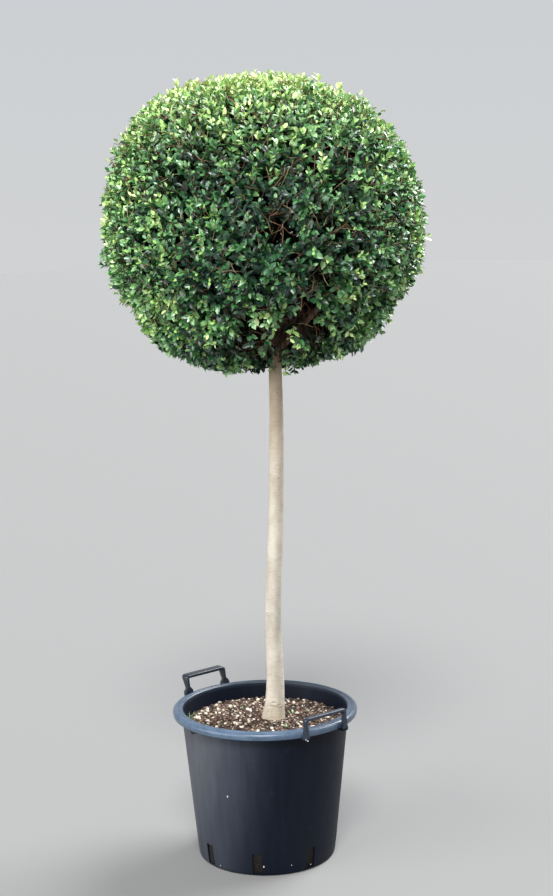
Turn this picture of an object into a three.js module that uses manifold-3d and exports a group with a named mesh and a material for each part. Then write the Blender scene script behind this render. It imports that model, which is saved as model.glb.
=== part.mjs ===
// A standard topiary: a clipped ball of small paired leaves on one bare stem, growing in a round
// nursery pot with two strap handles.
// Millimetres, +Z up. The origin is the centre of the pot's flat underside.
// The drainage slots lie on the X and Y axes and between them, and the handles near the X axis.
// Headings are turned from +X towards +Y.

import * as THREE from 'three';
import { mergeVertices } from 'three/addons/utils/BufferGeometryUtils.js';
import Module from 'manifold-3d';

const wasm = await Module();
wasm.setup();

// Clearances
const CLEARANCE = 0.3;

// Pot
const POT_HEIGHT = 344;
const RIM_RADIUS = 210;
const RIM_HEIGHT = 16;
const LIP_ROUND_ACROSS = 10;
const LIP_ROUND_UP = 8;
const ARC_STEPS = 3;
const WALL_FOOT_RADIUS = 156.4;
const WALL_TOP_RADIUS = 191.3;
const WALL = 4;
const FOOT_ROUNDING = 8;
const POT_SIDES = 48;

// Drainage slots round the pot's foot
const SLOT_COUNT = 8;
const SLOT_WIDTH = 23;
const SLOT_LOW = 6;
const SLOT_HIGH = 53;

// The three-cornered vent in the wall, its top behind the rim's lip
const VENT_HEADING = -94;
const VENT_WIDTH = 36;
const VENT_HEIGHT = 17;
const VENT_TOP = 332;

// Handles
const HANDLE_SPAN = 119;
const HANDLE_DEPTH = 8;
const POST_WIDTH = 8;
const BAR_HEIGHT = 7;
const BAR_CHAMFER = 4;
const HOOK_HEIGHT = 6;
const HOOK_WIDTH = 16;
const HOOK_REACH = 17;
const FRONT_HANDLE = { heading: 2, rise: 29, lean: -4, flare: 3 };
const REAR_HANDLE = { heading: 184.5, rise: 37, lean: 9, flare: 14 };

// Soil
const SOIL_TOP = 311;
const SOIL_EDGE = 306;
const SOIL_FLAT_RADIUS = 70;

// Stem. Each row of its path is a height and how far it has leaned by then.
const LEAN_HEADING = 52.5;
const STEM_PATH = [
  [311, 19.5],
  [350, 23.5],
  [400, 25.2],
  [460, 23.5],
  [520, 21.5],
  [600, 23.5],
  [715, 29.5],
  [790, 32.2],
  [875, 34.5],
  [1000, 36.5],
  [1250, 34.5],
];
const STEM_STATIONS = 200;
const STEM_SIDE_STEP = 10;
const STEM_SIDES = 14;
const STEM_RINGS = 22;
const STEM_RING_SPREAD = 1.5;
const STEM_FOOT_RADIUS = 20;
const STEM_TAPER = 6.7 / 1000;
const FLARE = 7.6;
const FLARE_FADE = 38;
const FLARE_LOBES = 3;
const FLARE_LOBE_SHARE = 0.25;
const FORK_HEIGHT = 1245;

// Boughs
const BOUGH_COUNT = 7;
const LOWEST_BOUGH = 1150;
const BOUGH_STEP = 14;
const BOUGH_FOOT_RADIUS = 8.5;
const BOUGH_TIP_RADIUS = 4;
const BOUGH_SIDES = 6;
const BOUGH_RINGS = 6;
const BOUGH_STATIONS = 16;
const BOUGH_SAG = 26;
const LOWEST_BOUGH_PITCH = -12;
const HIGHEST_BOUGH_PITCH = 64;
const SOCKET_DEPTH = 9;

// Crown: a ball clipped flatter below than above and closer in at its waist, its top leaning back
// against the stem's lean
const CROWN_HEIGHT = 1396;
const CROWN_SHIFT = 15;
const CROWN_LEAN = 20;
const CROWN_RADIUS = 355;
const CROWN_RISE = 356;
const CROWN_DROP = 287;
const UPPER_SQUARENESS = 2.4;
const LOWER_SQUARENESS = 2.1;
const WAIST_PITCH = -25;
const WAIST_SPREAD = 10;
const WAIST_DEPTH = 0.045;
const CORE_INSET = 42;
const CORE_WALL = 30;
const CORE_DETAIL = 4;
const HOLLOW_DETAIL = 2;
const MOUTH_RADIUS = 100;
const MOUTH_SIDES = 16;

// Twigs and leaves
const SEED = 21;
const TWIG_COUNT = 126;
const TWIG_RADIUS = 4.5;
const TWIG_TIP_RADIUS = 3.5;
const TWIG_ROOT = 14;
const TWIG_STOP = 16;
const TWIG_TILT = 0.34;
const LEAF_LENGTH = 62;
const LEAF_WIDTH = 38;
const LEAF_THICKNESS = 3;
const LEAF_START = 0.3;
const LEAF_SPLAY = 64;
const LEAF_SPLAY_SPREAD = 18;
const LEAF_FOLD = 4;
const LEAF_PAIR_STATIONS = [0.5, 0.85];
const TIP_PROUD = 8;
const LIMB_CLEARANCE = 4;

const GOLDEN_TURN = Math.PI * (3 - Math.sqrt(5));
const UP = new THREE.Vector3(0, 0, 1);

const radians = THREE.MathUtils.degToRad;
const lerp = THREE.MathUtils.lerp;

const leanWay = new THREE.Vector3(1, 0, 0).applyAxisAngle(UP, radians(LEAN_HEADING));
const sideWay = new THREE.Vector3(0, 1, 0).applyAxisAngle(UP, radians(LEAN_HEADING));
const crownCentre = leanWay.clone().multiplyScalar(CROWN_SHIFT).setZ(CROWN_HEIGHT);

// A small repeatable random number source, from 0 to 1
function randomSource(seed) {
  let state = seed;
  return () => {
    state = (state + 0x6d2b79f5) | 0;
    let mixed = Math.imul(state ^ (state >>> 15), 1 | state);
    mixed = (mixed + Math.imul(mixed ^ (mixed >>> 7), 61 | mixed)) ^ mixed;
    return ((mixed ^ (mixed >>> 14)) >>> 0) / 4294967296;
  };
}

// Solids and geometries
function solidFrom(geometry) {
  const bare = geometry.clone();
  bare.deleteAttribute('normal');
  bare.deleteAttribute('uv');
  const merged = mergeVertices(bare, 1e-4);
  return new wasm.Manifold(
    new wasm.Mesh({
      numProp: 3,
      vertProperties: new Float32Array(merged.attributes.position.array),
      triVerts: new Uint32Array(merged.index.array),
    }),
  );
}

function geometryFrom(solid) {
  const mesh = solid.getMesh();
  const geometry = new THREE.BufferGeometry();
  geometry.setAttribute('position', new THREE.BufferAttribute(mesh.vertProperties, 3));
  geometry.setIndex(new THREE.BufferAttribute(mesh.triVerts, 1));
  geometry.computeVertexNormals();
  return geometry;
}

// The one largest body, with loose scraps dropped and sealed hollows filled
function largestBody(solid) {
  const bodies = solid.decompose();
  return bodies.reduce((best, body) => (body.volume() > best.volume() ? body : best));
}

// Turned forms: an outline of [radius, height] pairs swept round the Z axis
function turned(outline, sides) {
  const points = outline.map(([radius, height]) => new THREE.Vector2(radius, height));
  return new THREE.LatheGeometry(points, sides).rotateX(Math.PI / 2);
}

function arcPoints(centre, radii, from, to) {
  const points = [];
  for (let step = 0; step <= ARC_STEPS; step += 1) {
    const angle = radians(lerp(from, to, step / ARC_STEPS));
    points.push([centre[0] + radii[0] * Math.cos(angle), centre[1] + radii[1] * Math.sin(angle)]);
  }
  return points;
}

function wallRadius(height) {
  return lerp(WALL_FOOT_RADIUS, WALL_TOP_RADIUS, height / POT_HEIGHT);
}

// Pot
function potOutline() {
  const lipLow = POT_HEIGHT - RIM_HEIGHT;
  const curlTop = POT_HEIGHT - WALL;
  const lipInside = RIM_RADIUS - WALL;
  const insideTop = wallRadius(POT_HEIGHT) - WALL;
  const insideFoot = wallRadius(WALL) - WALL;
  return [
    [0, 0],
    ...arcPoints([WALL_FOOT_RADIUS - FOOT_ROUNDING, FOOT_ROUNDING], [FOOT_ROUNDING, FOOT_ROUNDING], -90, 0),
    [wallRadius(lipLow), lipLow],
    [wallRadius(curlTop) + WALL / 2, curlTop],
    [lipInside - WALL / 2, curlTop - 1],
    [lipInside, curlTop - WALL],
    [lipInside + 1, lipLow],
    [RIM_RADIUS - 1, lipLow + 1],
    ...arcPoints(
      [RIM_RADIUS - LIP_ROUND_ACROSS, POT_HEIGHT - LIP_ROUND_UP],
      [LIP_ROUND_ACROSS, LIP_ROUND_UP],
      0,
      90,
    ),
    [insideTop + WALL, POT_HEIGHT],
    [insideTop, POT_HEIGHT - WALL],
    [insideFoot, WALL],
    [0, WALL],
  ];
}

function slotCutter(heading) {
  const reach = 40;
  const cutter = new THREE.BoxGeometry(reach, SLOT_WIDTH, SLOT_HIGH - SLOT_LOW);
  cutter.translate(WALL_FOOT_RADIUS, 0, (SLOT_LOW + SLOT_HIGH) / 2);
  return solidFrom(cutter.rotateZ(heading));
}

function ventCutter() {
  const reach = 20;
  const outline = new THREE.Shape([
    new THREE.Vector2(-VENT_WIDTH / 2, 0),
    new THREE.Vector2(VENT_WIDTH / 2, 0),
    new THREE.Vector2(0, -VENT_HEIGHT),
  ]);
  const cutter = new THREE.ExtrudeGeometry(outline, { depth: reach, bevelEnabled: false });
  cutter.rotateX(Math.PI / 2);
  cutter.rotateZ(Math.PI / 2);
  cutter.translate(wallRadius(VENT_TOP) - reach / 2, 0, VENT_TOP);
  return solidFrom(cutter.rotateZ(radians(VENT_HEADING)));
}

function makePot() {
  let pot = solidFrom(turned(potOutline(), POT_SIDES));
  for (let slot = 0; slot < SLOT_COUNT; slot += 1) {
    pot = pot.subtract(slotCutter((slot * 2 * Math.PI) / SLOT_COUNT));
  }
  return geometryFrom(pot.subtract(ventCutter()));
}

// Handles: a square arch that stands just outside the rim, deeper towards its top, on hooks that
// turn in under the lip
function archOutline(top) {
  const outer = HANDLE_SPAN / 2;
  const inner = outer - POST_WIDTH;
  const low = -RIM_HEIGHT - HOOK_HEIGHT - CLEARANCE;
  const under = top - BAR_HEIGHT;
  return [
    [-outer, low],
    [-inner, low],
    [-inner, 0],
    [-inner, under - BAR_CHAMFER / 2],
    [-inner + BAR_CHAMFER / 2, under],
    [inner - BAR_CHAMFER / 2, under],
    [inner, under - BAR_CHAMFER / 2],
    [inner, 0],
    [inner, low],
    [outer, low],
    [outer, 0],
    [outer, top - BAR_CHAMFER],
    [outer - BAR_CHAMFER, top],
    [-outer + BAR_CHAMFER, top],
    [-outer, top - BAR_CHAMFER],
    [-outer, 0],
  ];
}

function extruded(outline, depth) {
  const shape = new THREE.Shape(outline.map(([across, up]) => new THREE.Vector2(across, up)));
  return new THREE.ExtrudeGeometry(shape, { depth, bevelEnabled: false });
}

// The arch's inner face: clear of the rim where the posts' inner corners stand
function handleInnerFace() {
  const corner = HANDLE_SPAN / 2 - POST_WIDTH;
  return Math.sqrt(RIM_RADIUS ** 2 - corner ** 2) + CLEARANCE;
}

function hook(side) {
  const innerFace = handleInnerFace();
  const block = new THREE.BoxGeometry(HOOK_REACH + HANDLE_DEPTH, HOOK_WIDTH, HOOK_HEIGHT);
  const across = side * (HANDLE_SPAN / 2 - POST_WIDTH / 2);
  const level = POT_HEIGHT - RIM_HEIGHT - CLEARANCE - HOOK_HEIGHT / 2;
  return block.translate(innerFace + (HANDLE_DEPTH - HOOK_REACH) / 2, across, level);
}

function makeHandle({ heading, rise, lean, flare }) {
  const arch = extruded(archOutline(rise), HANDLE_DEPTH);
  arch.rotateX(Math.PI / 2);
  arch.rotateZ(Math.PI / 2);
  arch.translate(handleInnerFace(), 0, POT_HEIGHT);
  const middle = handleInnerFace() + HANDLE_DEPTH / 2;
  const place = arch.attributes.position;
  for (let index = 0; index < place.count; index += 1) {
    const above = Math.max(0, place.getZ(index) - POT_HEIGHT);
    const deeper = place.getX(index) > middle ? (flare * above) / rise : 0;
    place.setX(index, place.getX(index) + above * Math.tan(radians(lean)) + deeper);
  }
  const handle = solidFrom(arch).add(solidFrom(hook(1))).add(solidFrom(hook(-1)));
  return geometryFrom(handle).rotateZ(radians(heading));
}

// Soil: fills the pot and is level under the stem
function makeSoil() {
  const foot = WALL + CLEARANCE;
  const innerWall = (height) => wallRadius(height) - WALL - CLEARANCE;
  return turned(
    [
      [0, foot],
      [innerWall(foot), foot],
      [innerWall(SOIL_EDGE), SOIL_EDGE],
      [SOIL_FLAT_RADIUS, SOIL_TOP],
      [0, SOIL_TOP],
    ],
    POT_SIDES,
  );
}

// Stem
const stemCurve = new THREE.CatmullRomCurve3(
  STEM_PATH.map(([height, lean]) => new THREE.Vector3(lean, 0, height)),
  false,
  'centripetal',
);
const stemTable = stemCurve.getPoints(STEM_STATIONS);

function stemAxis(height) {
  const next = stemTable.findIndex((point) => point.z >= height);
  const upper = stemTable[next < 1 ? 1 : next];
  const lower = stemTable[next < 1 ? 0 : next - 1];
  const share = (height - lower.z) / (upper.z - lower.z);
  const axis = leanWay.clone().multiplyScalar(lerp(lower.x, upper.x, share));
  return axis.addScaledVector(sideWay, STEM_SIDE_STEP).setZ(height);
}

function stemRadius(height, angle = 0) {
  const rise = height - SOIL_TOP;
  const flare = FLARE * Math.exp(-rise / FLARE_FADE);
  const lobes = 1 + FLARE_LOBE_SHARE * Math.cos(FLARE_LOBES * angle);
  return STEM_FOOT_RADIUS - STEM_TAPER * rise + flare * lobes;
}

function stemGeometry(margin) {
  const foot = SOIL_TOP + CLEARANCE - margin;
  const top = FORK_HEIGHT + margin;
  const column = new THREE.CylinderGeometry(1, 1, 1, STEM_SIDES, STEM_RINGS).rotateX(Math.PI / 2);
  const place = column.attributes.position;
  for (let index = 0; index < place.count; index += 1) {
    const share = (place.getZ(index) + 0.5) ** STEM_RING_SPREAD;
    const height = lerp(foot, top, share);
    const x = place.getX(index);
    const y = place.getY(index);
    const radius = stemRadius(height, Math.atan2(y, x)) + margin;
    const axis = stemAxis(Math.min(height, FORK_HEIGHT));
    place.setXYZ(index, axis.x + x * radius, axis.y + y * radius, height);
  }
  return column;
}

// Crown outline: how far the clipped surface is from the crown's centre along a direction
function crownReach(direction) {
  const upper = direction.z >= 0;
  const extent = upper ? CROWN_RISE : CROWN_DROP;
  const squareness = upper ? UPPER_SQUARENESS : LOWER_SQUARENESS;
  const level = Math.hypot(direction.x, direction.y) / CROWN_RADIUS;
  const plumb = Math.abs(direction.z) / extent;
  const pitch = THREE.MathUtils.radToDeg(Math.asin(THREE.MathUtils.clamp(direction.z, -1, 1)));
  const waist = 1 - WAIST_DEPTH * Math.exp(-(((pitch - WAIST_PITCH) / WAIST_SPREAD) ** 2));
  return waist * (level ** squareness + plumb ** squareness) ** (-1 / squareness);
}

// How far the crown has leaned at a height above its centre
function crownLean(above) {
  return -CROWN_LEAN * (Math.max(0, above) / CROWN_RISE) ** 2;
}

function crownPoint(direction, inset) {
  const point = crownCentre.clone().addScaledVector(direction, crownReach(direction) - inset);
  return point.addScaledVector(leanWay, crownLean(point.z - CROWN_HEIGHT));
}

function crownSurface(inset, detail) {
  const ball = new THREE.IcosahedronGeometry(1, detail);
  const place = ball.attributes.position;
  const direction = new THREE.Vector3();
  for (let index = 0; index < place.count; index += 1) {
    direction.fromBufferAttribute(place, index).normalize();
    const point = crownPoint(direction, inset);
    place.setXYZ(index, point.x, point.y, point.z);
  }
  return ball;
}

// Boughs: each leaves the stem below the fork and ends in a socket in the crown's core
function boughCurve(number, overrun) {
  const share = number / (BOUGH_COUNT - 1);
  const start = stemAxis(LOWEST_BOUGH + number * BOUGH_STEP);
  const heading = number * GOLDEN_TURN;
  const pitch = radians(lerp(LOWEST_BOUGH_PITCH, HIGHEST_BOUGH_PITCH, share));
  const direction = new THREE.Vector3(
    Math.cos(heading) * Math.cos(pitch),
    Math.sin(heading) * Math.cos(pitch),
    Math.sin(pitch),
  );
  const end = crownPoint(direction, CORE_INSET + CORE_WALL - SOCKET_DEPTH - overrun);
  const bend = start.clone().lerp(end, 0.5);
  bend.z -= BOUGH_SAG * (1 - share);
  return new THREE.QuadraticBezierCurve3(start, bend, end);
}

function boughGeometry(number, margin) {
  const curve = boughCurve(number, margin);
  const frames = curve.computeFrenetFrames(BOUGH_RINGS);
  const column = new THREE.CylinderGeometry(1, 1, 1, BOUGH_SIDES, BOUGH_RINGS);
  const place = column.attributes.position;
  for (let index = 0; index < place.count; index += 1) {
    const share = place.getY(index) + 0.5;
    const ring = Math.round(share * BOUGH_RINGS);
    const radius = lerp(BOUGH_FOOT_RADIUS, BOUGH_TIP_RADIUS, share) + margin;
    const point = curve.getPointAt(share);
    point.addScaledVector(frames.binormals[ring], place.getX(index) * radius);
    point.addScaledVector(frames.normals[ring], place.getZ(index) * radius);
    place.setXYZ(index, point.x, point.y, point.z);
  }
  return column;
}

function makeBough(number, clearLimbs) {
  return geometryFrom(solidFrom(boughGeometry(number, 0)).subtract(clearLimbs));
}

// Whether a point is far enough from the stem and from every bough
function clearOfLimbs(point) {
  if (point.z < FORK_HEIGHT + LIMB_CLEARANCE) {
    const axis = stemAxis(Math.max(point.z, SOIL_TOP));
    if (point.distanceTo(axis) < stemRadius(point.z) + LIMB_CLEARANCE) {
      return false;
    }
  }
  return boughLines.every((line) =>
    line.every((station) => station.distanceTo(point) > BOUGH_FOOT_RADIUS + LIMB_CLEARANCE),
  );
}

function insideCrown(point) {
  const offset = point.clone().sub(crownCentre);
  offset.addScaledVector(leanWay, -crownLean(offset.z));
  const reach = crownReach(offset.clone().normalize());
  return offset.length() <= reach + TIP_PROUD;
}

const boughLines = Array.from({ length: BOUGH_COUNT }, (_, number) =>
  boughCurve(number, 0).getSpacedPoints(BOUGH_STATIONS),
);

// One leaf of eight faces, folded a little along its midrib, growing from a point along a direction
function leafSolid(root, direction, faceWay) {
  const width = new THREE.Vector3().crossVectors(faceWay, direction).normalize();
  const face = new THREE.Vector3().crossVectors(direction, width);
  const blade = new THREE.OctahedronGeometry(1, 0);
  blade.scale(LEAF_LENGTH / 2, LEAF_WIDTH / 2, LEAF_THICKNESS / 2);
  const place = blade.attributes.position;
  for (let index = 0; index < place.count; index += 1) {
    const edge = Math.abs(place.getY(index)) / (LEAF_WIDTH / 2);
    place.setZ(index, place.getZ(index) + edge * LEAF_FOLD);
  }
  const centre = root.clone().addScaledVector(direction, LEAF_LENGTH / 2 + LEAF_START);
  const placing = new THREE.Matrix4().makeBasis(direction, width, face).setPosition(centre);
  const points = [
    centre.clone().addScaledVector(direction, LEAF_LENGTH / 2),
    centre.clone().addScaledVector(width, LEAF_WIDTH / 2),
    centre.clone().addScaledVector(width, -LEAF_WIDTH / 2),
    centre,
  ];
  const kept = points.every((point) => insideCrown(point) && clearOfLimbs(point));
  return kept ? solidFrom(blade.applyMatrix4(placing)) : null;
}

// A twig with opposite pairs of leaves, each pair a quarter turn on from the last
function twigSolids(direction, random) {
  const wander = new THREE.Vector3(random() - 0.5, random() - 0.5, random() - 0.5);
  const growth = direction.clone().addScaledVector(wander, 2 * TWIG_TILT).normalize();
  const root = crownPoint(direction, CORE_INSET + TWIG_ROOT);
  const length = TWIG_ROOT + CORE_INSET - TWIG_STOP;
  const tip = root.clone().addScaledVector(growth, length);
  if (!clearOfLimbs(root) || !clearOfLimbs(tip)) {
    return [];
  }
  const stalk = new THREE.CylinderGeometry(TWIG_TIP_RADIUS, TWIG_RADIUS, length, 3);
  const turn = new THREE.Quaternion().setFromUnitVectors(new THREE.Vector3(0, 1, 0), growth);
  stalk.applyQuaternion(turn);
  const middle = root.clone().addScaledVector(growth, length / 2);
  const solids = [solidFrom(stalk.translate(middle.x, middle.y, middle.z))];
  const crosswise = new THREE.Vector3().crossVectors(growth, UP).normalize();
  const firstTurn = random() * Math.PI;
  LEAF_PAIR_STATIONS.forEach((station, pair) => {
    const at = root.clone().addScaledVector(growth, length * station);
    for (const half of [0, Math.PI]) {
      const side = crosswise.clone().applyAxisAngle(growth, firstTurn + half + (pair * Math.PI) / 2);
      const splay = radians(LEAF_SPLAY + LEAF_SPLAY_SPREAD * (random() - 0.5));
      const leafWay = growth.clone().multiplyScalar(Math.cos(splay)).addScaledVector(side, Math.sin(splay));
      solids.push(leafSolid(at, leafWay.normalize(), growth));
    }
  });
  return solids.filter((solid) => solid !== null);
}

function makeCrown(clearLimbs) {
  const random = randomSource(SEED);
  const mouth = new THREE.CylinderGeometry(MOUTH_RADIUS, MOUTH_RADIUS, CROWN_DROP, MOUTH_SIDES);
  mouth.rotateX(Math.PI / 2).translate(crownCentre.x, crownCentre.y, CROWN_HEIGHT - CROWN_DROP);
  const core = solidFrom(crownSurface(CORE_INSET, CORE_DETAIL))
    .subtract(solidFrom(crownSurface(CORE_INSET + CORE_WALL, HOLLOW_DETAIL)))
    .subtract(solidFrom(mouth))
    .subtract(clearLimbs);
  const pieces = [core];
  for (let number = 0; number < TWIG_COUNT; number += 1) {
    const height = 1 - (2 * (number + 0.5)) / TWIG_COUNT;
    const level = Math.sqrt(1 - height * height);
    const heading = number * GOLDEN_TURN;
    const direction = new THREE.Vector3(level * Math.cos(heading), level * Math.sin(heading), height);
    const offset = crownPoint(direction, CORE_INSET).sub(crownCentre);
    const overMouth = height < 0 && Math.hypot(offset.x, offset.y) < MOUTH_RADIUS;
    if (!overMouth) {
      pieces.push(...twigSolids(direction, random));
    }
  }
  return geometryFrom(largestBody(wasm.Manifold.union(pieces)));
}

// Materials
const finishes = {
  plastic: new THREE.MeshStandardMaterial({ color: 0x2b3440, roughness: 0.5, metalness: 0 }),
  soil: new THREE.MeshStandardMaterial({ color: 0x4a382a, roughness: 1, metalness: 0 }),
  bark: new THREE.MeshStandardMaterial({ color: 0xb9ad98, roughness: 0.85, metalness: 0 }),
  twigBark: new THREE.MeshStandardMaterial({ color: 0x6d543c, roughness: 0.9, metalness: 0 }),
  leaf: new THREE.MeshStandardMaterial({ color: 0x3f7036, roughness: 0.45, metalness: 0 }),
};

const topiary = new THREE.Group();

function addPart(name, geometry, finish) {
  const mesh = new THREE.Mesh(geometry, finish);
  mesh.name = name;
  topiary.add(mesh);
}

// Assembly
addPart('pot', makePot(), finishes.plastic);
addPart('handle_front', makeHandle(FRONT_HANDLE), finishes.plastic);
addPart('handle_rear', makeHandle(REAR_HANDLE), finishes.plastic);
addPart('soil', makeSoil(), finishes.soil);
addPart('trunk', stemGeometry(0), finishes.bark);

// Each bough is cut clear of the stem and of the boughs below it
let clearLimbs = solidFrom(stemGeometry(CLEARANCE));
for (let number = 0; number < BOUGH_COUNT; number += 1) {
  addPart(`bough_${number + 1}`, makeBough(number, clearLimbs), finishes.twigBark);
  clearLimbs = clearLimbs.add(solidFrom(boughGeometry(number, CLEARANCE)));
}
addPart('crown_foliage', makeCrown(clearLimbs), finishes.leaf);

export default topiary;
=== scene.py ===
import math

import bpy
import numpy as np
from mathutils import Matrix, Vector, noise


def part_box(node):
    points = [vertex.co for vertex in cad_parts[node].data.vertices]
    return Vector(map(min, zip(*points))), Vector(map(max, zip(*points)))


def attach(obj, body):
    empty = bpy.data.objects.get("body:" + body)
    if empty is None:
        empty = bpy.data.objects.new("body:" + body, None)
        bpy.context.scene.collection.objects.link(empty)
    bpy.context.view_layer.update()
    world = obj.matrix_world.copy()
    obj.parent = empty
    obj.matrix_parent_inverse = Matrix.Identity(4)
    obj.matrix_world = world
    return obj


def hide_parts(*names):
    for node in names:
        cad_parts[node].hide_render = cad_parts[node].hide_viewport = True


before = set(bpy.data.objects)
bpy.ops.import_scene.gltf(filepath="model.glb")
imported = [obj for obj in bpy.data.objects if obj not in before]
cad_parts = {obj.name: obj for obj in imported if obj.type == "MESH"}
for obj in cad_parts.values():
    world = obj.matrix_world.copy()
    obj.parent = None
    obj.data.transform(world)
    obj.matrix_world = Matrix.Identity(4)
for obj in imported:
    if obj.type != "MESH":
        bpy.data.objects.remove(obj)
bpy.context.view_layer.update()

# The looks of a standard topiary: a clipped ball of small paired leaves on a pale stem, in a nursery pot.
# Metres, +Z up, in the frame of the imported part.

# Camera, at the photograph's viewing angle. The photograph is taken to be 553 by 896 pixels.
VIEW_HEADING = 52.5
VIEW_DISTANCE = 3.4
VIEW_HEIGHT = 1.40
VIEW_ACROSS = 0.0355
VIEW_PITCH = 7.78
VIEW_ROLL = 0.9
SENSOR = 36.0
FOCAL_PIXELS = 1538
LONG_SIDE_PIXELS = 896
FLOOR_HALF = 60.0
LIT_HEIGHT = 0.9

# Pot. Its height and its rim are read from the frame, and the rest is as in the part's source, but for the
# vent, which is lower and wider here. The vent's upper corners are left and right of its lowest one.
POT_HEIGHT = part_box("pot")[1].z
RIM_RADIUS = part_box("pot")[1].x
RIM_HEIGHT = 0.016
WALL = 0.004
WALL_FOOT_RADIUS = 0.1564
WALL_TOP_RADIUS = 0.1913
FOOT_ROUNDING = 0.008
POT_SIDES = 192
SLOT_COUNT = 8
SLOT_WIDTH = 0.023
SLOT_LOW = 0.006
SLOT_HIGH = 0.053
SLOT_CUT = (0.13, 0.18)
VENT_HEADING = -97.5
VENT_ENDS = (-0.012, 0.030)
VENT_HEIGHT = 0.0110
VENT_TOP = 0.3185
VENT_CUT = 0.012

# Where the wall's colour gives way to the rim's, by height and by distance from the axis
RIM_COLOUR_HEIGHTS = (0.326, 0.331)
RIM_COLOUR_REACH = (0.1865, 0.1885)

# Handles
HANDLE_SPAN = 0.119
HANDLE_DEPTH = 0.008
POST_WIDTH = 0.008
BAR_HEIGHT = 0.007
BAR_ROUNDING = 0.004
HANDLE_CLEARANCE = 0.0003
POST_MIDDLE = HANDLE_SPAN / 2 - POST_WIDTH / 2
FOOT_FLARE = 0.016
HOOK_REACH = 0.017
HOOK_HEIGHT = 0.006
HANDLE_ROUNDING = 0.0012
# Each handle's node, heading, rise, lean in degrees, how much deeper its top is, and its feet's webs
HANDLES = [
    ("handle_front", 2, 0.029, -4, 0.003, 0.001),
    ("handle_rear", 184.5, 0.037, 9, 0.014, 0.007),
]

# Pale specks stuck on the pot's wall, by heading, height and size
SPECKS = [
    (-66.2, 0.1848, 0.0026),
    (-79.2, 0.0111, 0.0015),
    (-40.0, 0.0236, 0.0022),
    (-17.4, 0.0223, 0.0014),
    (0.6, 0.0131, 0.0014),
]
# Small pale balls on the front handle's foot: along the handle, out from the axis, height and size
PALE_DOTS = [(-0.0600, 0.2125, 0.3275, 0.0014), (-0.0545, 0.2125, 0.3235, 0.0016)]

# Soil
SOIL_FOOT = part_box("soil")[0].z
SOIL_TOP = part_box("soil")[1].z
SOIL_EDGE = 0.306
SOIL_FLAT_RADIUS = 0.070
SOIL_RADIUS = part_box("soil")[1].x
SOIL_CLEARANCE = 0.0003
SOIL_RINGS = 60
SOIL_SIDES = 120
GRAIN_RELIEF = 0.0022
# How far the bed lies below the grains' level, how fine its lumps are, and how far the grains keep off the
# wall, the stem's foot and the wall behind the vent, which reaches round to this cosine of the turn
BED_DROP = 0.0015
BED_LUMPS = 60
CLEAR_OF_WALL = 0.006
CLEAR_OF_STEM = 0.004
CLEAR_OF_VENT = 0.02
BEHIND_VENT = 0.985

# Stem. Each row of its path is a height and how far it has leaned by then.
LEAN_HEADING = 52.5
STEM_PATH = [
    (0.311, 0.0195),
    (0.350, 0.0235),
    (0.400, 0.0252),
    (0.460, 0.0235),
    (0.520, 0.0215),
    (0.600, 0.0235),
    (0.715, 0.0295),
    (0.790, 0.0322),
    (0.875, 0.0345),
    (1.000, 0.0365),
    (1.250, 0.0345),
]
STEM_SIDE_STEP = 0.010
STEM_FOOT_RADIUS = 0.020
STEM_TAPER = 6.7 / 1000
FLARE = 0.0076
FLARE_FADE = 0.038
FLARE_LOBES = 3
FLARE_LOBE_SHARE = 0.25
STEM_SIDES = 56
STEM_RINGS = 520
STEM_CLEARANCE = 0.0003
FORK_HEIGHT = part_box("trunk")[1].z

# Relief of the bark: how fine it is round the stem and up it, and how far it stands out
BARK_RELIEF = [(1.1, 14, 0.0007), (1.8, 300, 0.00026), (7, 120, 0.00022)]

# Old pruning scars on the stem: height, heading, size and how far each stands out
SCARS = [
    (0.872, -40, 0.006, 0.0016),
    (0.559, -75, 0.007, 0.0013),
    (0.690, 10, 0.005, 0.0010),
    (0.985, -100, 0.006, 0.0014),
    (0.455, 60, 0.006, 0.0012),
    (0.780, 150, 0.006, 0.0014),
    (1.060, -20, 0.006, 0.0016),
    (0.620, 220, 0.005, 0.0012),
    (0.352, -45, 0.009, 0.0018),
    (0.347, -10, 0.007, 0.0013),
    (0.336, -66, 0.006, 0.0012),
]

# Boughs
BOUGH_COUNT = 7
LOWEST_BOUGH = 1.150
BOUGH_STEP = 0.014
BOUGH_FOOT_RADIUS = 0.0085
BOUGH_TIP_RADIUS = 0.004
BOUGH_SIDES = 10
BOUGH_SAG = 0.026
LOWEST_BOUGH_PITCH = -12
HIGHEST_BOUGH_PITCH = 64
CORE_INSET = 0.042
CORE_WALL = 0.030
SOCKET_DEPTH = 0.009

# Crown: a ball clipped flatter below than above and closer in at its waist, its top leaning back
# against the stem's lean
CROWN_HEIGHT = 1.396
CROWN_SHIFT = 0.015
CROWN_LEAN = 0.020
CROWN_RADIUS = 0.355
CROWN_RISE = 0.356
CROWN_DROP = 0.287
UPPER_SQUARENESS = 2.4
LOWER_SQUARENESS = 2.1
WAIST_PITCH = -25
WAIST_SPREAD = 10
WAIST_DEPTH = 0.045

# Painted sheen on the wall, grey colour that stands in for a reflection on one side: the heading where it
# is brightest, how it grows per metre that way and upwards, and its colour from none to the brightest
PAINTED_SHEEN_HEADING = -112.5
PAINTED_SHEEN_ROUND = 4.6
PAINTED_SHEEN_RISE = 0.64
PAINTED_SHEEN_STOPS = [
    (0.24, (0, 0, 0)),
    (0.42, (0.006, 0.007, 0.009)),
    (0.57, (0.020, 0.023, 0.028)),
    (0.73, (0.034, 0.038, 0.046)),
    (0.95, (0.073, 0.076, 0.084)),
]

# Painted light and shade on the rim: the heading at which it is palest, and what its colour is
# multiplied by opposite it and there
PAINTED_LIGHT_HEADING = -60
PAINTED_SHADE_FACTOR = 0.25
PAINTED_LIGHT_FACTOR = 1.38
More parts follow.
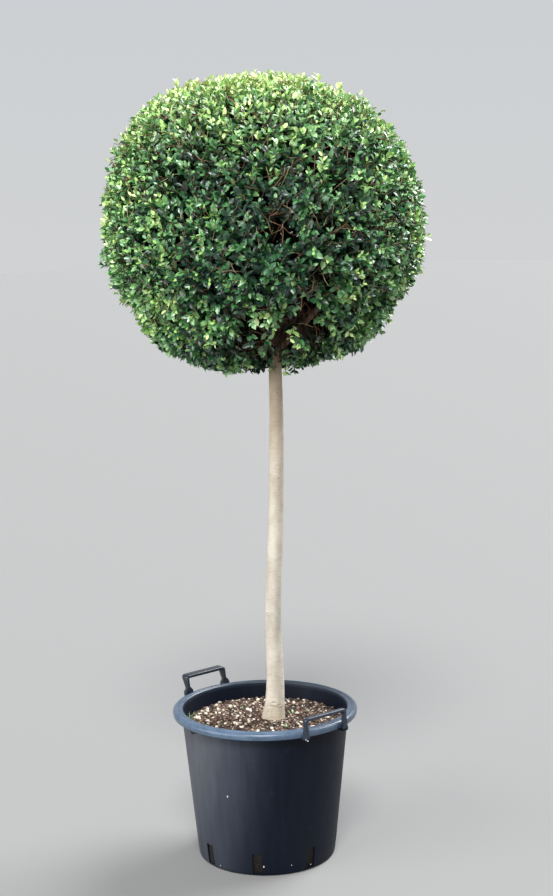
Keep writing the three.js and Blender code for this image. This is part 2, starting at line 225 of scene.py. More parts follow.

# Colour of the bark from the soil up into the crown, darkening by the crown as painted shade, and of the
# soil, loose on top and darker below
BARK_AND_CROWN_SHADE_STOPS = [
    (0.0, (0.40, 0.34, 0.25)),
    (0.07, (0.535, 0.500, 0.440)),
    (0.25, (0.480, 0.458, 0.405)),
    (0.60, (0.455, 0.415, 0.350)),
    # The last two stops, darker and browner, hold painted shade under and in the crown
    (0.82, (0.48, 0.385, 0.285)),
    (0.92, (0.17, 0.115, 0.075)),
]
LOOSE_STOPS = [(0.35, (0.010, 0.0065, 0.004)), (0.55, (0.032, 0.020, 0.013)), (0.75, (0.10, 0.065, 0.042))]
DARKER_LOW_STOPS = [(0.45, (0.004, 0.003, 0.002)), (0.60, (0.020, 0.013, 0.009)), (0.72, (0.11, 0.07, 0.045))]

# Branching inside the crown, from boughs to shoots
SEED = 21
LIMB_COUNT = 80
LIMB_INSET = 0.150
BRANCH_COUNT = 520
BRANCH_INSET = 0.088
SHOOT_COUNT = 5700
INNER_COUNT = 3000
OLD_TWIG_COUNT = 1500
HOLLOW_TWIG_COUNT = 3
UNDER_TWIG_COUNT = 220
# How deep the old twigs start and end and how much deeper in a hollow, and how deep the ones below end
OLD_TWIG_STARTS = (0.035, 0.070)
OLD_TWIG_ENDS = (0.000, 0.014)
HOLLOW_TWIG_DEPTH = 0.022
UNDER_TWIG_ENDS = (0.002, 0.080)
TAN_SHARE = 0.55
EARLY_FORK = 0.4
PARENT_PULL = 0.18
SHOOT_SAG = 0.26
INNER_INSET = (0.040, 0.190)
# How deep below the outline the shoots end, what the slow and fine lumps take off that and the hollows
# add, the least depth before the random part, and that part's mean
OUTER_INSET = 0.007
SLOW_INSET = 0.004
FINE_INSET = 0.010
HOLLOW_INSET = 0.022
LEAST_INSET = 0.001
RANDOM_INSET = 0.007
# The share of shoots missing at most in the hollows, on the thin underside and in the pockets between
# the fine lumps, and how low a lump has to be for a pocket
HOLLOW_LOSS = 0.92
UNDER_LOSS = 0.8
POCKET_LOSS = 0.9
POCKET_START = 0.30
# Share of long shoots and how far they stand out, share of green ones, and the length that has leaves
LONG_SHARE = 0.022
LONG_REACH = 0.010
GREEN_SHARE = 0.25
LEAFY_LENGTH = (0.045, 0.080)
INNER_LEAFY = 0.055
# Scale and start of the noise for the crown's slow and fine lumps
SLOW_LUMPS = (4.5, 0.0)
FINE_LUMPS = (13.0, 7.0)

# Each kind of twig's radius at its foot and at its tip, and its colour
TWIGS = {
    "twigs_brown": (0.0012, 0.0006, (0.155, 0.088, 0.052)),
    # twigs_under is a darker copy of twigs_brown, painted shade of the underside
    "twigs_under": (0.0012, 0.0006, (0.085, 0.050, 0.031)),
    "twigs_green": (0.0011, 0.0005, (0.42, 0.36, 0.15)),
    # twigs_inner: a darker colour, painted shade inside the crown
    "twigs_inner": (0.0012, 0.0007, (0.060, 0.035, 0.022)),
    "old_twigs_tan": (0.0011, 0.0006, (0.33, 0.235, 0.15)),
    "old_twigs_red": (0.0012, 0.0007, (0.19, 0.095, 0.055)),
    # under_twigs have a dark colour that is painted shade of the underside
    "under_twigs": (0.0013, 0.0005, (0.080, 0.048, 0.030)),
}

# The bare part of the underside: its middle's heading and pitch, and how wide it is, in degrees
BARE_HEADING = -22
BARE_PITCH = -58
BARE_FULL = 22
BARE_EDGE = 38

# Where the foliage stands out fuller, by heading and pitch, how far, the cosine of the turn away from there
# at its edge, and how much that cosine grows until it stands out fully
FULLER_WAY = (-127.5, -60)
FULLER_DEPTH = 0.009
FULLER_EDGE = 0.86
FULLER_FADE = 0.10

# Leaves: length and the spread of the sizes, then breadth, fold and curl as shares of the length
LEAF_LENGTH = 0.0194
LEAF_SIZES = (0.78, 1.2)
LEAF_BROADENING = 1.12
LEAF_BREADTHS = (0.42, 0.58)
LEAF_FOLDS = (0.04, 0.14)
LEAF_CURLS = (0.02, 0.16)
LEAF_SPACING = 0.0112
FIRST_PAIR_BACK = 0.0012
YOUNG_SPACING = 0.72
MOST_PAIRS = 8
INNER_PAIRS = 4
LEAF_SPLAY = 54
SPLAY_SPREAD = 11
YOUNG_CLOSING = 18
YOUNG_SHRINKING = 0.40
LOST_SHARE = 0.08
# How fresh the leaves are at least, and how much the top, the left, the right, the band below the waist,
# the slow lumps and the thin underside add; what the top, the sides and the thin underside add is painted
# light
LEAST_FRESH = 0.205
FRESH_AND_LIGHT_WEIGHTS = (0.76, 0.38, 0.60, 0.14, 0.11, 0.14)

GOLDEN_TURN = math.pi * (3 - math.sqrt(5))
UP = np.array([0.0, 0.0, 1.0])


def heading_way(degrees):
    return np.array([math.cos(math.radians(degrees)), math.sin(math.radians(degrees)), 0.0])


LEAN_WAY = heading_way(LEAN_HEADING)
SIDE_WAY = heading_way(LEAN_HEADING + 90)
RIGHT_WAY = heading_way(VIEW_HEADING)
NEAR_WAY = heading_way(VIEW_HEADING - 90)
CROWN_CENTRE = LEAN_WAY * CROWN_SHIFT + UP * CROWN_HEIGHT

# Hollows in the clipped surface: heading, pitch and half width in degrees, and how much is missing
HOLLOWS = [
    (-32, 3, 6.0, 1.0),
    (-33, 9, 4.5, 0.85),
    (-34, 20, 4.0, 0.6),
    (-19, 7, 3.5, 0.5),
    (-18, -16, 7.0, 0.75),
    (-19, -30, 11.0, 0.7),
    (-10, -38, 8.0, 0.6),
    (-71, -6, 4.0, 0.5),
    (-48, 31, 3.0, 0.5),
    (14, -22, 5.0, 0.5),
    (-36, -40, 6.5, 0.97),
    (-36, -52, 6.5, 1.0),
    (-37, -64, 7.0, 0.9),
    (-37, -78, 8.0, 1.0),
    (95, 10, 5.0, 0.8),
    (150, -12, 6.0, 0.7),
    (215, 25, 4.0, 0.6),
]


# Meshes and arrays
def unit(vectors):
    return vectors / np.maximum(np.linalg.norm(vectors, axis=-1, keepdims=True), 1e-12)


def circle(sides):
    """Angles evenly round a circle."""
    return np.linspace(0, 2 * math.pi, sides, endpoint=False)


def round_z(radius, angle, height):
    """Points round Z at these radii, angles and heights."""
    return np.stack(np.broadcast_arrays(radius * np.cos(angle), radius * np.sin(angle), height), -1)


def at_heading(points, heading):
    """Points turned round Z by a heading in degrees."""
    return points @ np.array(Matrix.Rotation(math.radians(heading), 3, "Z")).T


def new_object(name, data):
    made = bpy.data.objects.new(name, data)
    bpy.context.scene.collection.objects.link(made)
    return made


def link_mesh(name, points, faces, material, smooth=True):
    """Make one object of equal-sided faces and put it on the body."""
    mesh = bpy.data.meshes.new(name)
    faces = np.asarray(faces, np.int32)
    mesh.vertices.add(len(points))
    mesh.vertices.foreach_set("co", np.asarray(points, np.float32).ravel())
    mesh.loops.add(faces.size)
    mesh.loops.foreach_set("vertex_index", faces.ravel())
    mesh.polygons.add(len(faces))
    mesh.polygons.foreach_set("loop_start", np.arange(0, faces.size, faces.shape[1], dtype=np.int32))
    mesh.polygons.foreach_set("use_smooth", np.full(len(faces), smooth))
    mesh.update(calc_edges=True)
    mesh.validate()
    mesh.materials.append(material)
    piece = new_object(name, mesh)
    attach(piece, "root")
    return piece


def strip_faces(rings, sides):
    """Triangles of a closed tube with this many rings, its ends capped as fans."""
    ring = np.arange(rings - 1)[:, None] * sides
    side = np.arange(sides)[None, :]
    after = (side + 1) % sides
    a, b = ring + side, ring + after
    c, d = b + sides, a + sides
    walls = np.concatenate([np.stack([a, b, c], -1).reshape(-1, 3), np.stack([a, c, d], -1).reshape(-1, 3)])
    fan = np.arange(1, sides - 1)
    low = np.stack([np.zeros_like(fan), fan + 1, fan], -1)
    high = np.stack([np.zeros_like(fan), fan, fan + 1], -1) + (rings - 1) * sides
    return np.concatenate([walls, low, high])


def repeated(faces, count, points_each):
    """The faces of many meshes that are alike, one after the other."""
    return (faces[None] + (np.arange(count) * points_each)[:, None, None]).reshape(-1, 3)


def tubes(paths, radii, sides):
    """Points and triangles of tapered tubes along many paths of equal station count."""
    count, stations, _ = paths.shape
    ways = unit(np.gradient(paths, axis=1))
    mean_way = unit(ways.mean(axis=1))
    helper = np.where(np.abs(mean_way[:, 2:3]) < 0.9, UP[None, :], np.array([[1.0, 0.0, 0.0]]))
    across = unit(np.cross(ways, helper[:, None, :]))
    over = np.cross(across, ways)
    angle = circle(sides)
    ring = across[:, :, None, :] * np.cos(angle)[None, None, :, None]
    ring = ring + over[:, :, None, :] * np.sin(angle)[None, None, :, None]
    points = paths[:, :, None, :] + ring * radii[:, :, None, None]
    return points.reshape(-1, 3), repeated(strip_faces(stations, sides), count, stations * sides)


def bends(starts, middles, ends, stations):
    """Quadratic curves from starts to ends, pulled towards middles."""
    share = np.linspace(0, 1, stations)[None, :, None]
    first = starts[:, None] * (1 - share) ** 2
    second = middles[:, None] * 2 * share * (1 - share)
    return first + second + ends[:, None] * share**2


def joined(parts):
    """Join lists of points and faces into one."""
    offset = 0
    all_points = []
    all_faces = []
    for points, faces in parts:
        all_points.append(points)
        all_faces.append(faces + offset)
        offset += len(points)
    return np.concatenate(all_points), np.concatenate(all_faces)


# Materials
def shader_of(material):
    return material.node_tree.nodes["Principled BSDF"]


def new_material(name, colour, roughness, **sockets):
    """A principled material whose even values sit on the shader's own sockets."""
    material = bpy.data.materials.new(name)
    material.use_nodes = True
    inputs = shader_of(material).inputs
    inputs["Base Color"].default_value = (*colour, 1.0)
    inputs["Roughness"].default_value = roughness
    for socket, value in sockets.items():
        inputs[socket.replace("_", " ")].default_value = value
    return material


def add_node(tree, kind, **values):
    """Add a node, and set its sockets, named with underscores for spaces, and its own properties."""
    node = tree.nodes.new(kind)
    for name, value in values.items():
        socket = name.replace("_", " ")
        if socket in node.inputs:
            node.inputs[socket].default_value = value
        else:
            setattr(node, name, value)
    return node


def wire(source, target):
    source.id_data.links.new(source, target)


def feed(material, socket, source):
    """Wire a source to one of the shader's own sockets."""
    wire(source, shader_of(material).inputs[socket])


def place_on(material, kind="Object"):
    """The place that is being shaded, or the way that its surface faces."""
    return add_node(material.node_tree, "ShaderNodeTexCoord").outputs[kind]


def height_on(material, kind="Object"):
    split = add_node(material.node_tree, "ShaderNodeSeparateXYZ")
    wire(place_on(material, kind), split.inputs["Vector"])
    return split.outputs["Z"]


def reach_along(vector, way):
    """How far a vector reaches along a way."""
    node = add_node(vector.id_data, "ShaderNodeVectorMath", operation="DOT_PRODUCT")
    wire(vector, node.inputs[0])
    node.inputs[1].default_value = Vector(way)
    return node.outputs["Value"]


def fitted(value, low, high, least=0.0, most=1.0):
    """A value that goes from least to most as the one given goes from low to high."""
    limits = {"From_Min": low, "From_Max": high, "To_Min": least, "To_Max": most}
    node = add_node(value.id_data, "ShaderNodeMapRange", **limits)
    wire(value, node.inputs["Value"])
    return node.outputs["Result"]


def stretched_noise(material, scale, stretch=(1.0, 1.0, 1.0), detail=4.0, roughness=0.55):
    """Noise in the part's own coordinates, stretched by a scale on each axis."""
    tree = material.node_tree
    mapping = add_node(tree, "ShaderNodeMapping", Scale=stretch)
    texture = add_node(tree, "ShaderNodeTexNoise", Scale=scale, Detail=detail, Roughness=roughness)
    wire(place_on(material), mapping.inputs["Vector"])
    wire(mapping.outputs["Vector"], texture.inputs["Vector"])
    return texture.outputs["Fac"]


def grey(shade):
    return (shade, shade, shade)


def ramp(value, stops):
    """A colour for each value, from stops of a value and its colour."""
    node = add_node(value.id_data, "ShaderNodeValToRGB")
    elements = node.color_ramp.elements
    while len(elements) < len(stops):
        elements.new(0.5)
    for element, (position, colour) in zip(elements, stops):
        element.position = position
        element.color = (*colour, 1.0)
    wire(value, node.inputs["Fac"])
    return node.outputs["Color"]


def mixed(kind, share, first, second):
    node = add_node(first.id_data, "ShaderNodeMix", data_type="RGBA", blend_type=kind)
    if isinstance(share, float):
        node.inputs["Factor"].default_value = share
    else:
        wire(share, node.inputs["Factor"])
    wire(first, node.inputs[6])
    wire(second, node.inputs[7])
    return node.outputs[2]


def bump(height, strength, distance, before=None):
    node = add_node(height.id_data, "ShaderNodeBump", Strength=strength, Distance=distance)
    wire(height, node.inputs["Height"])
    if before is not None:
        wire(before, node.inputs["Normal"])
    return node.outputs["Normal"]


def rim_share(material):
    """1 on the pot's rim and handles, and 0 on its wall and inside."""
    tree = material.node_tree
    flat = add_node(tree, "ShaderNodeMapping", Scale=(1.0, 1.0, 0.0))
    wire(place_on(material), flat.inputs["Vector"])
    out = add_node(tree, "ShaderNodeVectorMath", operation="LENGTH")
    wire(flat.outputs["Vector"], out.inputs[0])
    both = add_node(tree, "ShaderNodeMath", operation="MULTIPLY")
    wire(fitted(height_on(material), *RIM_COLOUR_HEIGHTS), both.inputs[0])
    wire(fitted(out.outputs["Value"], *RIM_COLOUR_REACH), both.inputs[1])
    return both.outputs["Value"]


def painted_sheen_film(material, streaks):
    """Painted sheen: grey colour on one side of the wall's outside, standing in for a reflection, which
    reaches farther round it higher up.
    """
    way = heading_way(PAINTED_SHEEN_HEADING)
    amount = reach_along(place_on(material), way * PAINTED_SHEEN_ROUND + UP * PAINTED_SHEEN_RISE)
    outside = fitted(reach_along(place_on(material, "Normal"), way), 0.0, 0.2)
    patchy = ramp(streaks, [(0.25, grey(0.75)), (0.75, grey(1.15))])
    film = mixed("MULTIPLY", 1.0, ramp(amount, PAINTED_SHEEN_STOPS), patchy)
    return mixed("MULTIPLY", 1.0, film, outside)


def painted_rim_light(material):
    """Painted light and shade on the rim: darkest at the rear of the pot and palest at the front."""
    side = reach_along(place_on(material), heading_way(PAINTED_LIGHT_HEADING))
    return fitted(side, -RIM_RADIUS, RIM_RADIUS, PAINTED_SHADE_FACTOR, PAINTED_LIGHT_FACTOR)


def plastic_material(name, rim_low, rim_high):
    """Dark moulded plastic with faint streaks, darkest inside, with a painted sheen on one side of the
    wall's outside, and paler and bluer on the rim as a painted reflection of the sky.
    """
    material = new_material(name, (0.012, 0.015, 0.021), 0.46)
    streaks = stretched_noise(material, 9.0, (6.0, 6.0, 0.5))
    dust = stretched_noise(material, 34.0, detail=8.0, roughness=0.7)
    rim = rim_share(material)
    wall = ramp(streaks, [(0.3, (0.0008, 0.0024, 0.0072)), (0.7, (0.0024, 0.0048, 0.0125))])
    # Painted sheen: grey colour added on one side of the wall, standing in for a reflection
    wall = mixed("ADD", 1.0, wall, painted_sheen_film(material, streaks))
    # The rim's paler, bluer colour is a painted reflection of the sky on the same dark plastic
    lip = ramp(dust, [(0.3, rim_low), (0.7, rim_high)])
    # Painted light and shade: the rim's colour is multiplied by heading, palest at the front
    lip = mixed("MULTIPLY", 1.0, lip, painted_rim_light(material))
    scuff = ramp(dust, [(0.62, grey(0.0)), (0.82, (0.012, 0.013, 0.015))])
    feed(material, "Base Color", mixed("ADD", 1.0, mixed("MIX", rim, wall, lip), scuff))
    feed(material, "Specular IOR Level", fitted(rim, 0.0, 1.0, 0.17, 0.5))
    wall_gloss = ramp(dust, [(0.3, grey(0.50)), (0.75, grey(0.62))])
    lip_gloss = ramp(dust, [(0.3, grey(0.24)), (0.75, grey(0.38))])
    feed(material, "Roughness", mixed("MIX", rim, wall_gloss, lip_gloss))
    grain = stretched_noise(material, 900.0, detail=2.0)
    feed(material, "Normal", bump(grain, 0.12, 0.0004, bump(streaks, 0.12, 0.002)))
    return material


def bark_material():
    """Pale smooth bark with fine cross lines, darker and browner up by the crown, with painted shade of the
    crown there.
    """
    material = new_material("stem_bark", (0.62, 0.56, 0.46), 0.78)
    along = ramp(fitted(height_on(material), 0.30, 1.25), BARK_AND_CROWN_SHADE_STOPS)
    lines = stretched_noise(material, 60.0, (1.0, 1.0, 9.0), 6.0, 0.65)
    blotches = stretched_noise(material, 24.0, (1.0, 1.0, 0.5), 5.0)
    line_tone = ramp(lines, [(0.33, (0.72, 0.68, 0.62)), (0.48, grey(1.0))])
    blotch_tone = ramp(blotches, [(0.34, (0.74, 0.69, 0.62)), (0.62, (1.06, 1.04, 1.01))])
    colour = mixed("MULTIPLY", 0.8, along, line_tone)
    feed(material, "Base Color", mixed("MULTIPLY", 0.9, colour, blotch_tone))
    feed(material, "Normal", bump(lines, 0.35, 0.0012))
    return material


def bough_material():
    material = new_material("bough_bark", (0.14, 0.09, 0.055), 0.85)
    lines = stretched_noise(material, 80.0, (1.0, 1.0, 3.0), 5.0)
    feed(material, "Base Color", ramp(lines, [(0.3, (0.07, 0.042, 0.026)), (0.7, (0.22, 0.15, 0.095))]))
    feed(material, "Normal", bump(lines, 0.4, 0.001))
    return material


def soil_material():
    """Crumbly soil, loose on top and darker below, where it shows through the slots."""
    material = new_material("potting_soil", (0.06, 0.04, 0.028), 0.95)
    crumbs = stretched_noise(material, 160.0, detail=8.0, roughness=0.7)
    loose = ramp(crumbs, LOOSE_STOPS)
    darker_low = ramp(crumbs, DARKER_LOW_STOPS)
    above = fitted(height_on(material), 0.10, 0.20)
    feed(material, "Base Color", mixed("MIX", above, darker_low, loose))
    feed(material, "Normal", bump(crumbs, 0.8, 0.003))
    return material


def leaf_material(name, colour, roughness, gloss):
    coat = {"Coat_Weight": 0.65 * gloss, "Coat_Roughness": 0.26}
    return new_material(name, colour, roughness, Specular_IOR_Level=0.7 * gloss, **coat)


# Pot
def wall_radius(height):
    return WALL_FOOT_RADIUS + (WALL_TOP_RADIUS - WALL_FOOT_RADIUS) * height / POT_HEIGHT


def arc(centre, radii, first, last, steps):
    angles = np.radians(np.linspace(first, last, steps))
    return [(centre[0] + radii[0] * math.cos(a), centre[1] + radii[1] * math.sin(a)) for a in angles]


def pot_outline():
    """Outline of the pot's wall: foot, wall, rolled lip, dished rim top, inside wall and floor."""
    foot_disc = 0.08
    chamfer = 0.0006
    roll = (0.009, 0.008)
    inner_roll = 0.004
    inside_turn = 0.29
    lip_low = POT_HEIGHT - RIM_HEIGHT
    curl_top = POT_HEIGHT - WALL
    lip_inside = RIM_RADIUS - WALL
    inside_top = wall_radius(POT_HEIGHT) - WALL
    dish = 0.0012
    dish_outside = RIM_RADIUS - 0.013
    dish_inside = inside_top + 0.009
    heights = np.linspace(FOOT_ROUNDING, lip_low, 14)[1:-1]
    return [
        (0.0, 0.0),
        (foot_disc, 0.0),
        *arc((WALL_FOOT_RADIUS - FOOT_ROUNDING, FOOT_ROUNDING), (FOOT_ROUNDING, FOOT_ROUNDING), -90, 0, 7),
        *[(wall_radius(h), h) for h in heights],
        (wall_radius(lip_low), lip_low),
        (wall_radius(curl_top) + WALL / 2, curl_top),
        (lip_inside - WALL / 2, curl_top - chamfer),
        (lip_inside, curl_top - WALL),
        (lip_inside + chamfer, lip_low + chamfer),
        (lip_inside + chamfer + 0.001, lip_low),
        (RIM_RADIUS - 2 * chamfer, lip_low + chamfer),
        *arc((RIM_RADIUS - roll[0], POT_HEIGHT - roll[1]), roll, -20, 90, 12),
        (dish_outside, POT_HEIGHT - dish / 2),
        (dish_inside, POT_HEIGHT - dish),
        (dish_inside - 0.003, POT_HEIGHT - dish / 3),
        *arc((inside_top + inner_roll, POT_HEIGHT - inner_roll), (inner_roll, inner_roll), 90, 180, 7),
        (wall_radius(inside_turn) - WALL, inside_turn),
        (wall_radius(WALL) - WALL, WALL),
        (0.0, WALL),
    ]


def turned(name, outline, sides, material):
    """Sweep an outline, which starts and ends on the axis, round Z."""
    rings = np.array(outline[1:-1])
    points = round_z(rings[:, :1], circle(sides), rings[:, 1:]).reshape(-1, 3)
    low, high = len(points), len(points) + 1
    points = np.concatenate([points, [[0, 0, outline[0][1]], [0, 0, outline[-1][1]]]])
    walls = strip_faces(len(rings), sides)[: 2 * sides * (len(rings) - 1)]
    side = np.arange(sides)
    after = (side + 1) % sides
    top = (len(rings) - 1) * sides
    under = np.stack([np.full(sides, low), after, side], -1)
    over = np.stack([np.full(sides, high), side + top, after + top], -1)
    return link_mesh(name, points, np.concatenate([walls, under, over]), material)


def box_points(low, high):
    corners = [(x, y, z) for x in (low[0], high[0]) for y in (low[1], high[1]) for z in (low[2], high[2])]
    faces = [(0, 1, 3, 2), (4, 6, 7, 5), (0, 4, 5, 1), (2, 3, 7, 6), (0, 2, 6, 4), (1, 5, 7, 3)]
    return corners, faces


def cutter_object(points, faces, heading):
    mesh = bpy.data.meshes.new("cutter")
    mesh.from_pydata(points, [], faces)
    cutter = new_object("cutter", mesh)
    cutter.matrix_world = Matrix.Rotation(heading, 4, "Z")
    return cutter


def apply_modifiers(piece):
    evaluated = piece.evaluated_get(bpy.context.evaluated_depsgraph_get())
    mesh = bpy.data.meshes.new_from_object(evaluated)
    piece.modifiers.clear()
    piece.data = mesh


def make_pot(material):
    pot = turned("pot_shell", pot_outline(), POT_SIDES, material)
    half = SLOT_WIDTH / 2
    slot_box = box_points((SLOT_CUT[0], -half, SLOT_LOW), (SLOT_CUT[1], half, SLOT_HIGH))
    vent_reach = wall_radius(VENT_TOP)
    vent_points = [
        (vent_reach + side, across, VENT_TOP + down)
        for side in (-VENT_CUT, VENT_CUT)
        for across, down in ((VENT_ENDS[0], 0), (VENT_ENDS[1], 0), (0, -VENT_HEIGHT))
    ]
    vent_faces = [(0, 1, 2), (3, 5, 4), (0, 3, 4, 1), (1, 4, 5, 2), (2, 5, 3, 0)]
    cutters = [cutter_object(*slot_box, k * 2 * math.pi / SLOT_COUNT) for k in range(SLOT_COUNT)]
    cutters.append(cutter_object(vent_points, vent_faces, math.radians(VENT_HEADING)))
    bpy.context.view_layer.update()
    for cutter in cutters:
        cut = pot.modifiers.new("cut", "BOOLEAN")
        cut.operation = "DIFFERENCE"
        cut.solver = "EXACT"
        cut.object = cutter
    apply_modifiers(pot)
    for cutter in cutters:
        bpy.data.objects.remove(cutter)
    pot.data.polygons.foreach_set("use_smooth", np.full(len(pot.data.polygons), True))
    pot.data.set_sharp_from_angle(angle=math.radians(40))
    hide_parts("pot")


# Handles
def handle_path(rise):
    """Centreline of the arch in across and up, from one foot over the bar to the other."""
    top = rise - BAR_HEIGHT / 2
    low = -RIM_HEIGHT - 0.004
    corner = arc((POST_MIDDLE - BAR_ROUNDING, top - BAR_ROUNDING), (BAR_ROUNDING, BAR_ROUNDING), 0, 90, 6)
    right = np.array([(POST_MIDDLE, low), (POST_MIDDLE, 0.0), (POST_MIDDLE, top / 2), *corner])
    return np.concatenate([right * (-1, 1), [(-0.02, top), (0.02, top)], right[::-1]])


def handle_part(name, heading, rise, lean, flare, web, material):
    path = handle_path(rise)
    corner = HANDLE_SPAN / 2 - POST_WIDTH
    inner_face = math.sqrt(RIM_RADIUS**2 - corner**2) + HANDLE_CLEARANCE
    ways = unit(np.gradient(path, axis=0))
    normal = np.stack([-ways[:, 1], ways[:, 0]], -1)
    half_width = np.where(np.abs(ways[:, 1]) > 0.7, POST_WIDTH / 2, BAR_HEIGHT / 2)
    points = []
    for place, out, half in zip(path, normal, half_width):
        flat = half - HANDLE_ROUNDING
        near = [(-half, HANDLE_ROUNDING), (-flat, 0.0), (flat, 0.0), (half, HANDLE_ROUNDING)]
        full = HANDLE_DEPTH + flare * max(0.0, place[1]) / rise
        far = [(step, full - depth) for step, depth in reversed(near)]
        for step, depth in near + far:
            across, up = place + out * step
            lean_out = max(0.0, up) * math.tan(math.radians(lean))
            points.append((inner_face + depth + lean_out, across, POT_HEIGHT + up))
    feet = [foot_points(side, inner_face, web) for side in (1, -1)]
    points, faces = joined([(np.array(points), strip_faces(len(path), 8)), *feet])
    handle = link_mesh(name, at_heading(points, heading), faces, material)
    handle.data.set_sharp_from_angle(angle=math.radians(50))
    return handle


def foot_points(side, inner_face, web):
    """A foot that is webbed at the rim, flares out at its lip and hooks in under it."""
    middle = side * POST_MIDDLE
    under = -RIM_HEIGHT - HANDLE_CLEARANCE
    levels = [
        (0.010, POST_WIDTH / 2, 0.0, HANDLE_DEPTH),
        (0.001, POST_WIDTH / 2 + web, 0.0, HANDLE_DEPTH + 0.0003),
        (-0.005, POST_WIDTH / 2 + web, 0.0, HANDLE_DEPTH + 0.0003),
        (under + 0.0001, FOOT_FLARE / 2, 0.0, HANDLE_DEPTH + 0.0006),
        (under, FOOT_FLARE / 2, -HOOK_REACH, HANDLE_DEPTH + 0.0006),
        (under - HOOK_HEIGHT * 0.8, FOOT_FLARE / 2 - 0.001, -HOOK_REACH, HANDLE_DEPTH),
        (under - HOOK_HEIGHT, FOOT_FLARE / 2 - 0.0025, -HOOK_REACH + 0.001, HANDLE_DEPTH - 0.002),
    ]
    points = []
    for up, half, near, far in levels:
        for across, depth in ((-half, near), (half, near), (half, far), (-half, far)):
            points.append((inner_face + depth, middle + across, POT_HEIGHT + up))
    faces = strip_faces(len(levels), 4)[:, ::-1]
    return np.array(points), faces


def make_specks():
    points, faces = ball_template(2)
    parts = []
    for heading, height, size in SPECKS:
        speck = points * (0.0005, size * 0.6, size) + (wall_radius(height), 0, height)
        parts.append((at_heading(speck, heading), faces))
    for along, out, height, size in PALE_DOTS:
        parts.append((at_heading(points * size + (out, along, height), HANDLES[0][1]), faces))
    piece = link_mesh("pale_specks", *joined(parts), new_material("pale_specks", (0.52, 0.53, 0.54), 0.5))


def make_handles(material):
    for node, heading, rise, lean, flare, web in HANDLES:
        handle = handle_part(node + "_strap", heading, rise, lean, flare, web, material)
        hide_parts(node)


# Stem
def smooth_table():
    """Close heights, and the stem's lean at each, smoothed."""
    reach = 30
    heights = np.linspace(STEM_PATH[0][0] - 0.02, STEM_PATH[-1][0] + 0.02, 1200)
    leans = np.interp(heights, *zip(*STEM_PATH))
    kernel = np.exp(-np.linspace(-2.5, 2.5, 2 * reach + 1) ** 2)
    padded = np.pad(leans, reach, mode="edge")
    return heights, np.convolve(padded, kernel / kernel.sum(), mode="valid")


STEM_HEIGHTS, STEM_LEANS = smooth_table()


def stem_axis(height):
    lean = np.interp(height, STEM_HEIGHTS, STEM_LEANS)
    flat = LEAN_WAY[None] * np.atleast_1d(lean)[:, None] + SIDE_WAY[None] * STEM_SIDE_STEP
    flat[:, 2] = height
    return flat


def stem_radius(height, angle):
    rise = height - SOIL_TOP
    flare = FLARE * np.exp(-rise / FLARE_FADE)
    lobes = 1 + FLARE_LOBE_SHARE * np.cos(FLARE_LOBES * angle)
    return STEM_FOOT_RADIUS - STEM_TAPER * rise + flare * lobes


def make_stem(material):
    heights = np.linspace(SOIL_TOP + STEM_CLEARANCE, FORK_HEIGHT, STEM_RINGS)
    z, a = np.meshgrid(heights, circle(STEM_SIDES), indexing="ij")
    radius = stem_radius(z, a)
    relief = np.zeros_like(radius)
    for place in np.ndindex(relief.shape):
        c, s = math.cos(a[place]), math.sin(a[place])
        for around, upwards, depth in BARK_RELIEF:
            relief[place] += depth * noise.noise(Vector((c * around, s * around, z[place] * upwards)))
    for height, heading, size, depth in SCARS:
        turn = np.angle(np.exp(1j * (a - math.radians(heading)))) * radius
        away = np.hypot(turn / size, (z - height) / (size * 0.6))
        relief += depth * (np.exp(-((away - 0.8) ** 2) * 6) - 0.5 * np.exp(-(away**2) * 4))
    points = stem_axis(heights)[:, None, :] + round_z(1.0, a, 0.0) * (radius + relief)[..., None]
    stem = link_mesh("trunk_bark", points.reshape(-1, 3), strip_faces(STEM_RINGS, STEM_SIDES), material)
    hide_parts("trunk")


# Crown outline, as in the part's source
def crown_reach(ways):
    upper = ways[..., 2] >= 0
    extent = np.where(upper, CROWN_RISE, CROWN_DROP)
    squareness = np.where(upper, UPPER_SQUARENESS, LOWER_SQUARENESS)
    level = np.hypot(ways[..., 0], ways[..., 1]) / CROWN_RADIUS
    plumb = np.abs(ways[..., 2]) / extent
    pitch = np.degrees(np.arcsin(np.clip(ways[..., 2], -1, 1)))
    waist = 1 - WAIST_DEPTH * np.exp(-(((pitch - WAIST_PITCH) / WAIST_SPREAD) ** 2))
    return waist * (level**squareness + plumb**squareness) ** (-1 / squareness)


def crown_points(ways, inset):
    offsets = ways * (crown_reach(ways) - inset)[..., None]
    rise = np.clip(offsets[..., 2:] / CROWN_RISE, 0, None)
    return CROWN_CENTRE + offsets - LEAN_WAY * CROWN_LEAN * rise**2


def spiral_ways(count, rng, wander):
    """Ways spread evenly over all directions, each turned a little at random."""
    number = np.arange(count)
    height = 1 - 2 * (number + 0.5) / count
    ways = round_z(np.sqrt(1 - height**2), number * GOLDEN_TURN, height)
    return unit(ways + rng.normal(0, wander, ways.shape))


def bough_paths(stations):
    number = np.arange(BOUGH_COUNT)
    share = number / (BOUGH_COUNT - 1)
    starts = stem_axis(LOWEST_BOUGH + number * BOUGH_STEP)
    pitch = np.radians(LOWEST_BOUGH_PITCH + (HIGHEST_BOUGH_PITCH - LOWEST_BOUGH_PITCH) * share)
    ways = round_z(np.cos(pitch), number * GOLDEN_TURN, np.sin(pitch))
    ends = crown_points(ways, CORE_INSET + CORE_WALL - SOCKET_DEPTH)
    middles = (starts + ends) / 2
    middles[:, 2] -= BOUGH_SAG * (1 - share)
    return bends(starts, middles, ends, stations)


